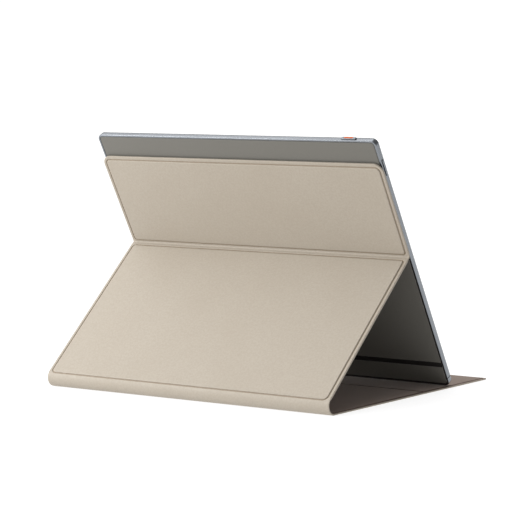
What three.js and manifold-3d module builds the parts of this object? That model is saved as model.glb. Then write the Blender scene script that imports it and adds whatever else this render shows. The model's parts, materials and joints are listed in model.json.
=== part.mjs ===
// An e-reader held by magnets on a folding leather folio, stood up in its reading position.
// Millimetres, +Z up, +Y towards the back of the stand, origin under the middle of the whole object.

import * as THREE from 'three';
import { mergeVertices } from 'three/addons/utils/BufferGeometryUtils.js';
import Module from 'manifold-3d';

const wasm = await Module();
wasm.setup();

// Driving dimensions

const readerWidth = 288.1;
const readerHeight = 242.65;
const readerThickness = 5.2;
const readerCorner = 5;
const readerTilt = 60.92;             // degrees from the table to the screen

const folioWidth = 290.6;
const folioCorner = 8.5;
const frontCorner = 3;                // the front cover's corners at its front edge
const panelThickness = 3;             // outer face to the reader's back, gap included
const frontCoverThickness = 1.6;
const padRaise = 0.35;                // how far each pad stands out of the border round it
const lowerPanelTilt = 41.487;        // degrees from the table
const lowerPanelLength = 154.775;
const upperPanelLength = 88.63;
const foldHeight = 133.74;            // from the reader's lower edge up its back to the fold
const spineRadius = 8.28;
const frontReach = 238.7;             // spine centre to the front cover's front edge

const leather = 0.9;                  // thickness of the skin on a panel
const layerGap = 0.1;                 // between the layers of a laminate
const clearance = 0.3;                // between pieces that only touch
const cornerSteps = 5;
const roundSteps = 12;

const radians = THREE.MathUtils.degToRad;
const tilt = radians(readerTilt);
const slope = radians(lowerPanelTilt);

// Places in the side view, as Y and Z

const spineCentre = new THREE.Vector2((frontReach + spineRadius) / 2 - spineRadius, spineRadius);
const alongLower = new THREE.Vector2(-Math.cos(slope), Math.sin(slope));
const outOfLower = new THREE.Vector2(Math.sin(slope), Math.cos(slope));
const alongReader = new THREE.Vector2(Math.cos(tilt), Math.sin(tilt));
const outOfScreen = new THREE.Vector2(-Math.sin(tilt), Math.cos(tilt));

const lowerStart = spineCentre.clone().addScaledVector(outOfLower, spineRadius);
const fold = lowerStart.clone().addScaledVector(alongLower, lowerPanelLength);
const readerFoot = fold.clone()
  .addScaledVector(outOfScreen, panelThickness)
  .addScaledVector(alongReader, -foldHeight);

// Finishes

const finish = (color, roughness, metalness = 0) =>
  new THREE.MeshStandardMaterial({ color, roughness, metalness });

const paleLeather = finish(0xc3b8a5, 0.6);
const microfibre = finish(0x6f625a, 0.95);
const grayBoard = finish(0x8d8a82, 0.9);
const anodised = finish(0xa9adb3, 0.35, 1);
const backShell = finish(0x807d75, 0.6);
const rubber = finish(0x171514, 0.85);
const coverGlass = finish(0x1b1c1e, 0.1);
const clearSheet = finish(0xdfe4e6, 0.2);
const paperWhite = finish(0xd9d8d0, 0.8);
const steel = finish(0x9a9b9d, 0.4, 1);
const cellFoil = finish(0x2b2c30, 0.5);
const boardGreen = finish(0x1f4a37, 0.6);
const blackPlastic = finish(0x1c1d1f, 0.6);
const magnetNickel = finish(0xb9bbbd, 0.3, 1);
const amberFilm = finish(0xb5702a, 0.5);
const orangeInlay = finish(0xd9683a, 0.5);

// Shapes

// A rounded rectangle, anticlockwise from its lower right corner.
// radius is one number, or four: lower right, upper right, upper left, lower left.
function outline({ width, height, radius, x = 0, y = 0 }) {
  const radii = Array.isArray(radius) ? radius : [radius, radius, radius, radius];
  const corners = [[1, -1], [1, 1], [-1, 1], [-1, -1]];
  return corners.flatMap(([sideX, sideY], corner) => {
    const r = radii[corner];
    const centreX = x + sideX * (width / 2 - r);
    const centreY = y + sideY * (height / 2 - r);
    return Array.from({ length: cornerSteps + 1 }, (_, step) => {
      const angle = (corner - 1 + step / cornerSteps) * Math.PI / 2;
      return [centreX + r * Math.cos(angle), centreY + r * Math.sin(angle)];
    });
  });
}

function meshFrom(points, triangles) {
  const geometry = new THREE.BufferGeometry();
  geometry.setAttribute('position', new THREE.Float32BufferAttribute(points.flat(), 3));
  geometry.setIndex(triangles);
  return geometry;
}

function wall(lower, upper, count) {
  return Array.from({ length: count }, (_, i) => {
    const next = (i + 1) % count;
    return [lower + i, lower + next, upper + next, lower + i, upper + next, upper + i];
  }).flat();
}

// A closed body through a pile of outlines, each at its own z, lowest first
function stack(rows) {
  const rings = rows.map((row) => outline(row).map(([x, y]) => [x, y, row.z]));
  const count = rings[0].length;
  const last = (rings.length - 1) * count;
  const triangles = rings.slice(1).flatMap((_, level) => wall(level * count, (level + 1) * count, count));
  for (let i = 1; i < count - 1; i += 1) {
    triangles.push(0, i + 1, i);
    triangles.push(last, last + i, last + i + 1);
  }
  return meshFrom(rings.flat(), triangles);
}

const plate = (shape, low, high) => stack([{ ...shape, z: low }, { ...shape, z: high }]);

// A frame that runs round the reader. The section is closed, as inset from the edge and z.
function frameAround(section) {
  const rings = section.map(([inset, z]) => outline(readerOutline(inset)).map(([x, y]) => [x, y, z]));
  const count = rings[0].length;
  const triangles = rings.flatMap((_, i) => wall(((i + 1) % rings.length) * count, i * count, count));
  return meshFrom(rings.flat(), triangles);
}

function readerOutline(inset) {
  return {
    width: readerWidth - 2 * inset,
    height: readerHeight - 2 * inset,
    radius: Math.max(readerCorner - inset, 1),
    y: readerHeight / 2,
  };
}

// A side view, with Y across and Z up, drawn out to a width along X
function drawnAlongX(sideView, width) {
  const geometry = new THREE.ExtrudeGeometry(sideView, {
    depth: width,
    bevelEnabled: false,
    curveSegments: roundSteps,
  });
  geometry.translate(0, 0, -width / 2);
  const sideAxes = [new THREE.Vector3(0, 1, 0), new THREE.Vector3(0, 0, 1), new THREE.Vector3(1, 0, 0)];
  return geometry.applyMatrix4(new THREE.Matrix4().makeBasis(...sideAxes));
}

function box(low, high) {
  const size = high.map((value, axis) => value - low[axis]);
  const centre = high.map((value, axis) => (value + low[axis]) / 2);
  return new THREE.BoxGeometry(...size).translate(...centre);
}

// A pill that stands along the side named by toward, for slots and buttons in the reader's edge
function pill(toward, length, width, inner, outer, centre) {
  const shape = { width: length, height: width, radius: 0.48 * width };
  const turns = {
    top: [[1, 0, 0], [0, 0, -1], [0, 1, 0]],
    left: [[0, 1, 0], [0, 0, -1], [-1, 0, 0]],
    right: [[0, 1, 0], [0, 0, 1], [1, 0, 0]],
  };
  const axes = turns[toward].map((axis) => new THREE.Vector3(...axis));
  return plate(shape, inner, outer)
    .applyMatrix4(new THREE.Matrix4().makeBasis(...axes))
    .translate(...centre);
}

// Cutting and joining

function toSolid(geometry) {
  const bare = geometry.clone();
  bare.deleteAttribute('normal');
  bare.deleteAttribute('uv');
  const merged = mergeVertices(bare, 1e-4);
  return new wasm.Manifold(new wasm.Mesh({
    numProp: 3,
    vertProperties: new Float32Array(merged.attributes.position.array),
    triVerts: new Uint32Array(merged.index.array),
  }));
}

function toGeometry(solid) {
  const { vertProperties, triVerts } = solid.getMesh();
  const geometry = new THREE.BufferGeometry();
  geometry.setAttribute('position', new THREE.BufferAttribute(vertProperties, 3));
  geometry.setIndex(new THREE.BufferAttribute(triVerts, 1));
  return geometry;
}

const cut = (geometry, ...tools) =>
  toGeometry(tools.reduce((solid, tool) => solid.subtract(toSolid(tool)), toSolid(geometry)));

const join = (geometry, ...others) =>
  toGeometry(others.reduce((solid, other) => solid.add(toSolid(other)), toSolid(geometry)));

// Assembly

const model = new THREE.Group();

function group(place, turn) {
  const holder = new THREE.Group();
  holder.position.set(0, place.x, place.y);
  holder.rotation.x = turn;
  model.add(holder);
  return holder;
}

function add(holder, name, geometry, material) {
  const mesh = new THREE.Mesh(geometry, material);
  mesh.name = name;
  holder.add(mesh);
}

// Folio panels. Each lies in its own XY plane with its outer face at z = 0 and its lining on top.

function addPanel(holder, name, options) {
  const { length, thickness, radius, margins, magnets = [], skin = leather, lining = 0.5 } = options;
  const border = { width: folioWidth, height: length, radius, y: length / 2 };
  const padHeight = length - margins.start - margins.end;
  const pad = {
    width: folioWidth - 2 * margins.side,
    height: padHeight,
    radius: margins.radius,
    y: margins.start + padHeight / 2,
  };
  const padEdge = { ...pad, width: pad.width + padRaise, height: pad.height + padRaise };
  add(holder, `${name}_leather`, stack([
    { ...pad, z: 0 },
    { ...padEdge, z: padRaise },
    { ...border, z: padRaise },
    { ...border, z: skin },
  ]), paleLeather);

  const boardLow = skin + layerGap;
  const boardHigh = thickness - lining - layerGap;
  const boardRoom = magnets.map(([x, y, width, height]) => (
    plate({ width: width + 0.4, height: height + 0.4, radius: 0.6, x, y }, boardLow - 1, boardHigh + 1)
  ));
  const board = plate(pad, boardLow, boardHigh);
  add(holder, `${name}_board`, boardRoom.length ? cut(board, ...boardRoom) : board, grayBoard);
  magnets.forEach(([x, y, width, height], index) => {
    const block = plate({ width, height, radius: 0.5, x, y }, boardLow, boardHigh);
    add(holder, `${name}_magnet_${index + 1}`, block, magnetNickel);
  });
  add(holder, `${name}_lining`, plate(border, thickness - lining, thickness), microfibre);
}

const hingeEdge = 0.5;                // corner radius where a panel meets the spine or the fold
const sideMargin = 3.6;
const endMargin = 4.4;

function addFrontCover() {
  const length = frontReach - clearance;
  const holder = group(new THREE.Vector2(spineCentre.x - frontReach, 0), 0);
  addPanel(holder, 'front_cover', {
    length,
    thickness: frontCoverThickness,
    radius: [frontCorner, hingeEdge, hingeEdge, frontCorner],
    margins: { side: sideMargin, start: endMargin, end: 2, radius: 4 },
    magnets: [[-110, 9, 30, 5], [110, 9, 30, 5]],
    skin: 0.7,
    lining: 0.4,
  });
}

function addLowerPanel() {
  const holder = group(lowerStart.clone().addScaledVector(alongLower, clearance), Math.PI - slope);
  addPanel(holder, 'lower_panel', {
    length: lowerPanelLength - 2 * clearance - foldStrip,
    thickness: panelThickness - clearance,
    radius: hingeEdge,
    margins: { side: sideMargin, start: 0.6, end: 4, radius: 4 },
  });
}

function addUpperPanel() {
  const holder = group(fold.clone().addScaledVector(alongReader, foldStrip + clearance), tilt);
  addPanel(holder, 'upper_panel', {
    length: upperPanelLength - foldStrip - clearance,
    thickness: panelThickness - clearance,
    radius: [hingeEdge, folioCorner, folioCorner, hingeEdge],
    margins: { side: sideMargin, start: 0.8, end: endMargin, radius: 4 },
    magnets: [-1, 1].flatMap((side) => [18, 68].map((y) => [side * 122, y, 14, 20])),
  });
}

// Soft strips between the panels

const foldStrip = 1.2;                // length of soft skin on each side of the fold line

function addSpine() {
  const holder = group(spineCentre, 0);
  const endGap = clearance / spineRadius;
  const from = -Math.PI / 2 + endGap;
  const to = Math.PI / 2 - slope - endGap;
  const skin = new THREE.Shape();
  skin.absarc(0, 0, spineRadius, from, to, false);
  skin.absarc(0, 0, spineRadius - leather, to, from, true);
  add(holder, 'spine_leather', drawnAlongX(skin, folioWidth), paleLeather);

  const stiffenerRadius = spineRadius - leather - layerGap;
  const reach = 0.3;
  const strip = new THREE.Shape();
  strip.absarc(0, 0, stiffenerRadius, -reach, reach, false);
  strip.absarc(0, 0, stiffenerRadius - 0.5, reach, -reach, true);
  add(holder, 'spine_stiffener', drawnAlongX(strip, folioWidth - 12), blackPlastic);
}

function addFold() {
  const intoLower = outOfLower.clone().negate();
  const depth = 0.5;
  const corner = (along, into, distance, inward) => (
    fold.clone().addScaledVector(along, distance).addScaledVector(into, padRaise + inward)
  );
  const downLower = alongLower.clone().negate();
  const middle = fold.clone().add(new THREE.Vector2(-padRaise, 0));
  const strip = new THREE.Shape([
    corner(downLower, intoLower, foldStrip, 0),
    middle,
    corner(alongReader, outOfScreen, foldStrip, 0),
    corner(alongReader, outOfScreen, foldStrip, depth),
    middle.clone().add(new THREE.Vector2(-depth * 1.3, 0)),
    corner(downLower, intoLower, foldStrip, depth),
  ]);
  add(group(new THREE.Vector2(), 0), 'fold_leather', drawnAlongX(strip, folioWidth - 1), paleLeather);
}

// The reader lies in its own XY plane: back face at z = 0, screen upwards, lower edge at y = 0

const readerHolder = group(readerFoot, tilt);
const halfWidth = readerWidth / 2;
const wallThickness = 2.6;
const edgeMiddle = readerThickness / 2;

const powerButton = { length: 14, width: 2.6, proud: 1.2, x: -118 };
const volumeRocker = { length: 14.4, width: 2, proud: 0.75, y: 216.4 };
const usbPort = { length: 8.9, width: 3.1, y: readerHeight / 2 };
const speakers = [{ name: 'upper', y: 178 }, { name: 'lower', y: 65 }];
const speakerSlots = [-6, 0, 6];
const antennaBreak = { y: 8, width: 0.8, depth: 0.8 };

const backCoverThickness = 0.7;
const backCoverInset = 1.8;
const gripStrip = { low: 19.4, high: 23.9, depth: 0.35 };

const glassThickness = 0.45;
const glassInset = 1.1;
const glassLow = readerThickness - glassThickness;
const cellLow = backCoverThickness + 0.15;
const plateLow = glassLow - 1.5;      // the mid frame's back face
const displayInset = 9.5;

function addSideFrame() {
  const section = new THREE.Shape();
  section.moveTo(glassInset - layerGap, readerThickness);
  section.quadraticCurveTo(0, readerThickness, 0, edgeMiddle + 0.4);
  section.lineTo(0, edgeMiddle - 0.6);
  section.quadraticCurveTo(0, 0.2, 0.5, 0);
  section.lineTo(backCoverInset - layerGap, 0);
  section.lineTo(backCoverInset - layerGap, backCoverThickness + layerGap);
  section.lineTo(wallThickness, backCoverThickness + layerGap);
  section.lineTo(wallThickness, readerThickness - glassThickness - layerGap);
  section.lineTo(glassInset - layerGap, readerThickness - glassThickness - layerGap);
  const points = section.extractPoints(4).shape.map((point) => [point.x, point.y]);

  const through = [-wallThickness - 1, 1];
  const { length: powerLength, width: powerWidth, x: powerX } = powerButton;
  const powerSlot = pill('top', powerLength + 0.5, powerWidth + 0.4, ...through,
    [powerX, readerHeight, edgeMiddle]);
  const rockerSlot = pill('left', volumeRocker.length + 0.8, volumeRocker.width + 0.5, ...through,
    [-halfWidth, volumeRocker.y, edgeMiddle]);
  const portSlot = pill('right', usbPort.length + 0.3, usbPort.width + 0.3, ...through,
    [halfWidth, usbPort.y, edgeMiddle]);
  const grille = speakers.flatMap(({ y }) => speakerSlots.map((offset) => (
    pill('right', 4, 1.1, ...through, [halfWidth, y + offset, 1.7])
  )));
  const breaks = [-1, 1].map((side) => {
    const { y, width, depth } = antennaBreak;
    const inner = side * (halfWidth - depth);
    const outer = side * (halfWidth + 1);
    return box(
      [Math.min(inner, outer), y - width / 2, -1],
      [Math.max(inner, outer), y + width / 2, readerThickness + 1],
    );
  });
  const frame = cut(frameAround(points), powerSlot, rockerSlot, portSlot, ...grille, ...breaks);
  add(readerHolder, 'side_frame', frame, anodised);
}

function addAntennaStrips() {
  [['left', -1], ['right', 1]].forEach(([name, side]) => {
    const width = antennaBreak.width - 2 * layerGap;
    const thickness = antennaBreak.depth - 2 * layerGap;
    const insert = box([-thickness / 2, -width / 2, 0.5], [thickness / 2, width / 2, readerThickness - 0.9]);
    insert.translate(side * (halfWidth - layerGap - thickness / 2), antennaBreak.y, 0);
    add(readerHolder, `antenna_strip_${name}`, insert, blackPlastic);
  });
}

function addBackCover() {
  const { low, high, depth } = gripStrip;
  const groove = box(
    [-halfWidth, low - layerGap, -1],
    [halfWidth, high + layerGap, depth],
  );
  const shell = plate(readerOutline(backCoverInset), 0, backCoverThickness);
  add(readerHolder, 'back_cover', cut(shell, groove), backShell);
  const reach = halfWidth - backCoverInset - 0.2;
  add(readerHolder, 'grip_strip', box([-reach, low, -0.1], [reach, high, depth - layerGap]), rubber);
}

function addDisplay() {
  add(readerHolder, 'front_glass', plate(readerOutline(glassInset), glassLow, readerThickness), coverGlass);
  // depths of the two faces of each layer, below the glass
  const layers = [
    { name: 'touch_film', top: 0.08, foot: 0.2, material: clearSheet },
    { name: 'light_guide', top: 0.28, foot: 0.55, material: clearSheet },
    { name: 'paper_panel', top: 0.63, foot: 0.95, material: paperWhite },
    { name: 'pen_digitizer', top: 1.03, foot: 1.17, material: amberFilm },
  ];
  layers.forEach(({ name, top, foot, material }) => {
    add(readerHolder, name, plate(readerOutline(displayInset), glassLow - foot, glassLow - top), material);
  });
  const lamps = box(
    [-130, displayInset - 2.2, glassLow - 0.65],
    [130, displayInset - 0.2, glassLow - 0.28],
  );
  add(readerHolder, 'light_strip', lamps, paperWhite);

  const ribbon = new THREE.Shape();
  const [displayEnd, turn, boardEnd] = [displayInset - 0.2, 5.2, 20];
  const [high, low, thickness] = [glassLow - 0.95, plateLow - 0.35, 0.15];
  ribbon.moveTo(displayEnd, high);
  ribbon.lineTo(displayEnd, high + thickness);
  ribbon.lineTo(turn, high + thickness);
  ribbon.lineTo(turn, low);
  ribbon.lineTo(boardEnd, low);
  ribbon.lineTo(boardEnd, low + thickness);
  ribbon.lineTo(turn + thickness, low + thickness);
  ribbon.lineTo(turn + thickness, high);
  add(readerHolder, 'display_ribbon', drawnAlongX(ribbon, 30), amberFilm);
}

const screwPlaces = [-1, 1].flatMap((side) => [7, readerHeight - 7].map((y) => [side * (halfWidth - 7), y]));

function addMidFrame() {
  const thickness = 0.25;
  const body = plate(readerOutline(wallThickness + clearance), plateLow, plateLow + thickness);
  const screwHoles = screwPlaces.map(([x, y]) => (
    plate({ width: 2.2, height: 2.2, radius: 1.05, x, y }, plateLow - 1, plateLow + 1)
  ));
  const portRoom = box([halfWidth - 10, usbPort.y - 6, 2], [halfWidth, usbPort.y + 6, 4]);
  const ribbonRoom = box([-17, 0, 2], [17, displayInset, 4]);
  const powerRoom = box([powerButton.x - 9, readerHeight - 7, 2], [powerButton.x + 9, readerHeight, 4]);
  const rockerRoom = box([-halfWidth, volumeRocker.y - 9, 2], [7 - halfWidth, volumeRocker.y + 9, 4]);
  const midFrame = cut(body, ...screwHoles, portRoom, ribbonRoom, powerRoom, rockerRoom);
  add(readerHolder, 'mid_frame', midFrame, steel);
  screwPlaces.forEach(([x, y], index) => {
    const head = { width: 3.2, height: 3.2, radius: 1.55, x, y };
    const shank = { width: 1.4, height: 1.4, radius: 0.65, x, y };
    add(readerHolder, `chassis_screw_${index + 1}`, stack([
      { ...head, z: plateLow - 0.75 },
      { ...head, z: plateLow - layerGap },
      { ...shank, z: plateLow - layerGap },
      { ...shank, z: plateLow + 0.95 },
    ]), steel);
  });
}

function addElectronics() {
  const cellHigh = plateLow - layerGap;
  [['left', -1], ['right', 1]].forEach(([name, side]) => {
    const cell = { width: 104, height: 112, radius: 3, x: side * 56, y: 122 };
    add(readerHolder, `battery_${name}`, plate(cell, cellLow, cellHigh), cellFoil);
    [158, 208].forEach((y, index) => {
      const block = { width: 14, height: 20, radius: 0.5, x: side * 122, y };
      const magnet = plate(block, cellLow, cellLow + 1.2);
      add(readerHolder, `reader_magnet_${name}_${index + 1}`, magnet, magnetNickel);
    });
  });
  const board = { width: 170, height: 32, radius: 2, x: -4, y: 40 };
  add(readerHolder, 'main_board', plate(board, cellLow, cellLow + 0.7), boardGreen);
  const shield = { width: 38, height: 24, radius: 1, x: -48, y: 41 };
  add(readerHolder, 'processor_shield', plate(shield, cellLow + 0.8, cellHigh), steel);
  speakers.forEach(({ name, y }) => {
    const inner = halfWidth - wallThickness - clearance;
    const capsule = box([inner - 9, y - 11, cellLow], [inner, y + 11, cellHigh]);
    add(readerHolder, `speaker_${name}`, capsule, blackPlastic);
  });
}

function addUsbPort() {
  const place = [halfWidth, usbPort.y, edgeMiddle];
  const shell = pill('right', usbPort.length, usbPort.width, -7.6, -0.5, place);
  const mouth = pill('right', usbPort.length - 0.7, usbPort.width - 0.7, -6.8, 1, place);
  const tongue = box(
    [halfWidth - 7, usbPort.y - 3.3, edgeMiddle - 0.35],
    [halfWidth - 1.2, usbPort.y + 3.3, edgeMiddle + 0.35],
  );
  add(readerHolder, 'usb_port', join(cut(shell, mouth), tongue), steel);
}

function addPowerButton() {
  const { length, width, proud, x } = powerButton;
  const place = [x, readerHeight, edgeMiddle];
  const flange = -wallThickness - layerGap;
  const inlay = { length: 8.6, width: 1.8, depth: 0.4 };
  const cap = pill('top', length, width, flange - 0.1, proud, place);
  const lip = pill('top', length + 1.6, width + 0.3, flange - 0.6, flange, place);
  const recess = pill('top', inlay.length + 0.2, inlay.width + 0.2, proud - inlay.depth, proud + 1, place);
  add(readerHolder, 'power_button', cut(join(cap, lip), recess), anodised);
  const fill = pill('top', inlay.length, inlay.width, proud - inlay.depth + layerGap, proud, place);
  add(readerHolder, 'power_inlay', fill, orangeInlay);
  const switchTop = readerHeight + flange - 1.2;
  const switchBody = box([x - 2.2, switchTop - 2, edgeMiddle - 1.1], [x + 2.2, switchTop, edgeMiddle + 1.1]);
  add(readerHolder, 'power_switch', switchBody, blackPlastic);
}

function addVolumeRocker() {
  const { length, width, proud, y } = volumeRocker;
  const place = [-halfWidth, y, edgeMiddle];
  const lipTop = -wallThickness - 0.5;
  const bar = pill('left', length, width, lipTop - 0.1, proud, place);
  const lip = pill('left', length + 1.6, width + 0.4, lipTop - 0.6, lipTop, place);
  add(readerHolder, 'volume_rocker', join(bar, lip), anodised);
  [['up', 4.5], ['down', -4.5]].forEach(([name, offset]) => {
    const face = -halfWidth - lipTop + 1.05;
    const switchBody = box(
      [face, y + offset - 1, edgeMiddle - 1.1],
      [face + 1.8, y + offset + 1, edgeMiddle + 1.1],
    );
    add(readerHolder, `volume_switch_${name}`, switchBody, blackPlastic);
  });
}

addFrontCover();
addSpine();
addLowerPanel();
addFold();
addUpperPanel();
addSideFrame();
addAntennaStrips();
addBackCover();
addDisplay();
addMidFrame();
addElectronics();
addUsbPort();
addPowerButton();
addVolumeRocker();

export default model;
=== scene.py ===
import json
import math

import bmesh
import bpy
from mathutils import Matrix, Vector
from mathutils.geometry import delaunay_2d_cdt


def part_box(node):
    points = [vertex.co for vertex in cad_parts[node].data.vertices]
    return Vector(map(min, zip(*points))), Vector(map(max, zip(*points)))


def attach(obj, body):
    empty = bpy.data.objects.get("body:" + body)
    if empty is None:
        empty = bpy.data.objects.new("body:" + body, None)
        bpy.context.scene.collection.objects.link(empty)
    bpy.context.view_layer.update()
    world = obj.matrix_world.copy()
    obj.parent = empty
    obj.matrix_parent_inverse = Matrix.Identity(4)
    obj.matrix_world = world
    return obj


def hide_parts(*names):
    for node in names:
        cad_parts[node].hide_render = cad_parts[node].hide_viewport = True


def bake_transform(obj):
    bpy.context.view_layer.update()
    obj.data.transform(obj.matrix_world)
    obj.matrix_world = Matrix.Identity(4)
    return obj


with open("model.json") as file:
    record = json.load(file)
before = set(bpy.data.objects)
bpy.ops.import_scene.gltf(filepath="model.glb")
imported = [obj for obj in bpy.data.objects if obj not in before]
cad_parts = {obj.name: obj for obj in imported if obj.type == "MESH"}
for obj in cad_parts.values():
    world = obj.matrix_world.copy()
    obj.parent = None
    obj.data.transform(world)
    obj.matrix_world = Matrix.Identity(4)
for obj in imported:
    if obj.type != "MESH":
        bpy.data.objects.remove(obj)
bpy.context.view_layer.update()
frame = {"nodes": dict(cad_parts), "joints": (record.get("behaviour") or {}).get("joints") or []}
scene = bpy.context.scene
mm = 0.001
joints = {joint["name"]: joint for joint in frame["joints"]}

# Places in the side view, in mm: the first number is row Y, the second is Z

screenOut = Vector(joints["reader_pull_off"]["axis"][1:])
upReader = Vector((screenOut.y, -screenOut.x))
readerTilt = math.atan2(upReader.y, upReader.x)
foldPoint = Vector(joints["back_fold"]["pos_m"][1:]) / mm


def spanAlong(node, direction):
    # a node's lowest and highest place along a direction in the side view
    vertices = frame["nodes"][node].data.vertices
    places = [Vector((vertex.co.y, vertex.co.z)).dot(direction) / mm for vertex in vertices]
    return min(places), max(places)


frameFoot = spanAlong("side_frame", upReader)[0]
frameBack = spanAlong("side_frame", screenOut)[0]
readerFoot = upReader * frameFoot + screenOut * frameBack
readerPlace = Matrix.Translation((0, readerFoot.x, readerFoot.y)) @ Matrix.Rotation(readerTilt, 4, "X")


def readerBox(node):
    # a node's lowest and highest corner in the reader's own frame: x, up the back, out of the screen
    back = readerPlace.inverted()
    places = [back @ (vertex.co / mm) for vertex in frame["nodes"][node].data.vertices]
    low = Vector([min(place[axis] for place in places) for axis in range(3)])
    high = Vector([max(place[axis] for place in places) for axis in range(3)])
    return low, high


# Meshes


def finishMesh(mesh, sharpAngle):
    mesh.polygons.foreach_set("use_smooth", [True] * len(mesh.polygons))
    mesh.set_sharp_from_angle(angle=math.radians(sharpAngle))
    mesh.update()


def addPiece(name, points, faces, finish, place=None, sharpAngle=32):
    # points in mm, turned and moved by place, then kept in metres
    mesh = bpy.data.meshes.new(name)
    mesh.from_pydata([tuple(point) for point in points], [], faces)
    work = bmesh.new()
    work.from_mesh(mesh)
    bmesh.ops.remove_doubles(work, verts=work.verts, dist=0.0005)
    bmesh.ops.recalc_face_normals(work, faces=work.faces)
    work.to_mesh(mesh)
    work.free()
    mesh.transform(Matrix.Scale(mm, 4) @ (place or Matrix()))
    finishMesh(mesh, sharpAngle)
    piece = bpy.data.objects.new(name, mesh)
    scene.collection.objects.link(piece)
    if finish:
        mesh.materials.append(finish)
    return piece


def roundedRing(width, height, radius, x=0, y=0, z=0, steps=10):
    radii = radius if isinstance(radius, (list, tuple)) else [radius] * 4
    ring = []
    for corner, (sideX, sideY) in enumerate([(1, -1), (1, 1), (-1, 1), (-1, -1)]):
        centreX = x + sideX * (width / 2 - radii[corner])
        centreY = y + sideY * (height / 2 - radii[corner])
        for step in range(steps + 1):
            angle = (corner - 1 + step / steps) * math.pi / 2
            ring.append((centreX + radii[corner] * math.cos(angle),
                         centreY + radii[corner] * math.sin(angle), z))
    return ring


def bridgeRings(rings, closed=False):
    # quads between neighbouring rings, with flat ends unless the rings close on themselves
    points = [point for ring in rings for point in ring]
    count = len(rings[0])
    faces = []
    for level in range(len(rings) if closed else len(rings) - 1):
        upper = (level + 1) % len(rings)
        for i in range(count):
            j = (i + 1) % count
            faces.append((level * count + i, level * count + j, upper * count + j, upper * count + i))
    if not closed:
        faces.append(tuple(range(count)))
        faces.append(tuple(range((len(rings) - 1) * count, len(rings) * count)))
    return points, faces


def addStack(name, rows, finish, place=None, sharpAngle=32, steps=10):
    points, faces = bridgeRings([roundedRing(**row, steps=steps) for row in rows])
    return addPiece(name, points, faces, finish, place, sharpAngle)


def carve(piece, cutters, sharpAngle=32):
    for cutter in cutters:
        modifier = piece.modifiers.new("cut", "BOOLEAN")
        modifier.operation = "DIFFERENCE"
        modifier.solver = "EXACT"
        modifier.object = cutter
    evaluated = piece.evaluated_get(bpy.context.evaluated_depsgraph_get())
    mesh = bpy.data.meshes.new_from_object(evaluated)
    piece.modifiers.clear()
    piece.data = mesh
    finishMesh(mesh, sharpAngle)
    for cutter in cutters:
        bpy.data.objects.remove(cutter)
    return piece


def smoothStep(low, high, value):
    t = min(max((value - low) / (high - low), 0), 1)
    return t * t * (3 - 2 * t)


def profileAt(table, value):
    # the height at value in a table of (place, height), eased between neighbours
    if value <= table[0][0]:
        return table[0][1]
    for (fromPlace, fromHeight), (toPlace, toHeight) in zip(table, table[1:]):
        if value <= toPlace:
            return fromHeight + (toHeight - fromHeight) * smoothStep(fromPlace, toPlace, value)
    return table[-1][1]


# Finishes


def linearColour(code):
    channels = [int(code[place:place + 2], 16) / 255 for place in (1, 3, 5)]
    linear = [value / 12.92 if value <= 0.04045 else ((value + 0.055) / 1.055) ** 2.4
              for value in channels]
    return [*linear, 1]


def addNode(tree, kind, settings=None, links=None):
    node = tree.nodes.new("ShaderNode" + kind)
    for key, value in (settings or {}).items():
        if isinstance(key, int) or key in node.inputs:
            node.inputs[key].default_value = value
        else:
            setattr(node, key, value)
    for key, (source, output) in (links or {}).items():
        tree.links.new(source.outputs[output], node.inputs[key])
    return node


def makeFinish(name, colour, shaderSettings, patterns):
    # patterns are laid over each other in order. Each has a size in mm and any of: paint, a colour it
    # adds; relief, its height in mm; rough, the roughness at its low and high ends; stretch, its length
    # along x, y and z
    finish = bpy.data.materials.new(name)
    finish.use_nodes = True
    tree = finish.node_tree
    tree.nodes.clear()
    shader = addNode(tree, "BsdfPrincipled", {"Base Color": linearColour(colour), **shaderSettings})
    addNode(tree, "OutputMaterial", links={"Surface": (shader, "BSDF")})
    place = addNode(tree, "TexCoord")
    paint = None
    bump = None
    for pattern in patterns:
        stretch = pattern.get("stretch", (1, 1, 1))
        mapping = addNode(tree, "Mapping", {"Scale": [1 / part for part in stretch]},
                          {"Vector": (place, "Object")})
        textureSettings = {"Scale": 1 / (pattern["size"] * mm), **pattern.get("settings", {})}
        texture = addNode(tree, pattern["kind"], textureSettings, {"Vector": (mapping, 0)})
        low, high = pattern.get("between", (0, 1))
        value = addNode(tree, "MapRange", {"From Min": low, "From Max": high}, {"Value": (texture, 0)})
        if "paint" in pattern:
            amount = addNode(tree, "Math", {"operation": "MULTIPLY", 1: pattern.get("amount", 1)},
                             {0: (value, 0)})
            colours = {"Color1": linearColour(colour), "Color2": linearColour(pattern["paint"])}
            mix = addNode(tree, "MixRGB", colours, {"Fac": (amount, 0)})
            if paint:
                tree.links.new(paint.outputs[0], mix.inputs["Color1"])
            paint = mix
        if "rough" in pattern:
            rough = addNode(tree, "MapRange", {"To Min": pattern["rough"][0], "To Max": pattern["rough"][1]},
                            {"Value": (value, 0)})
            tree.links.new(rough.outputs[0], shader.inputs["Roughness"])
        if "relief" in pattern:
            bumpSettings = {"Strength": pattern.get("strength", 1), "Distance": pattern["relief"] * mm}
            nextBump = addNode(tree, "Bump", bumpSettings, {"Height": (value, 0)})
            if bump:
                tree.links.new(bump.outputs[0], nextBump.inputs["Normal"])
            bump = nextBump
    if paint:
        tree.links.new(paint.outputs[0], shader.inputs["Base Color"])
    if bump:
        tree.links.new(bump.outputs[0], shader.inputs["Normal"])
    return finish


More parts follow.
